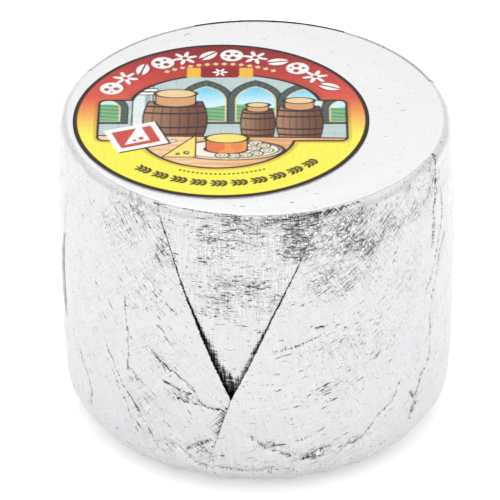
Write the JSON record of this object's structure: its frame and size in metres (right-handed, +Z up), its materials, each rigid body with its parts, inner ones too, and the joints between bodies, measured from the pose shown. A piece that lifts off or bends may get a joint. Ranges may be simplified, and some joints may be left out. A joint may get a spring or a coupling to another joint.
{
  "type": "foil-wrapped cheese wheel",
  "caption": "Small whole cheese wheel in folded, linen-embossed foil, with a round printed paper label off centre on its flat top.",
  "frame": {"origin": "centre of the wrapped wheel's underside, on the surface it stands on", "axes": "+Z up along the wheel's axis; -Y is the front, where the V of the two folded wings shows; +X to the right seen from the front"},
  "size_m": [0.11, 0.11, 0.0903],
  "materials": {
    "cheese_rind": null,
    "wrapping_foil": "bright paper-backed foil, linen embossed and creased",
    "printed_label": "semi-gloss coated paper printed in red, orange and yellow with a dark rim"
  },
  "bodies": {
    "root": {"cheese": "cheese_rind", "foil_wrapper": "wrapping_foil", "label": "printed_label"}
  },
  "joints": []
}
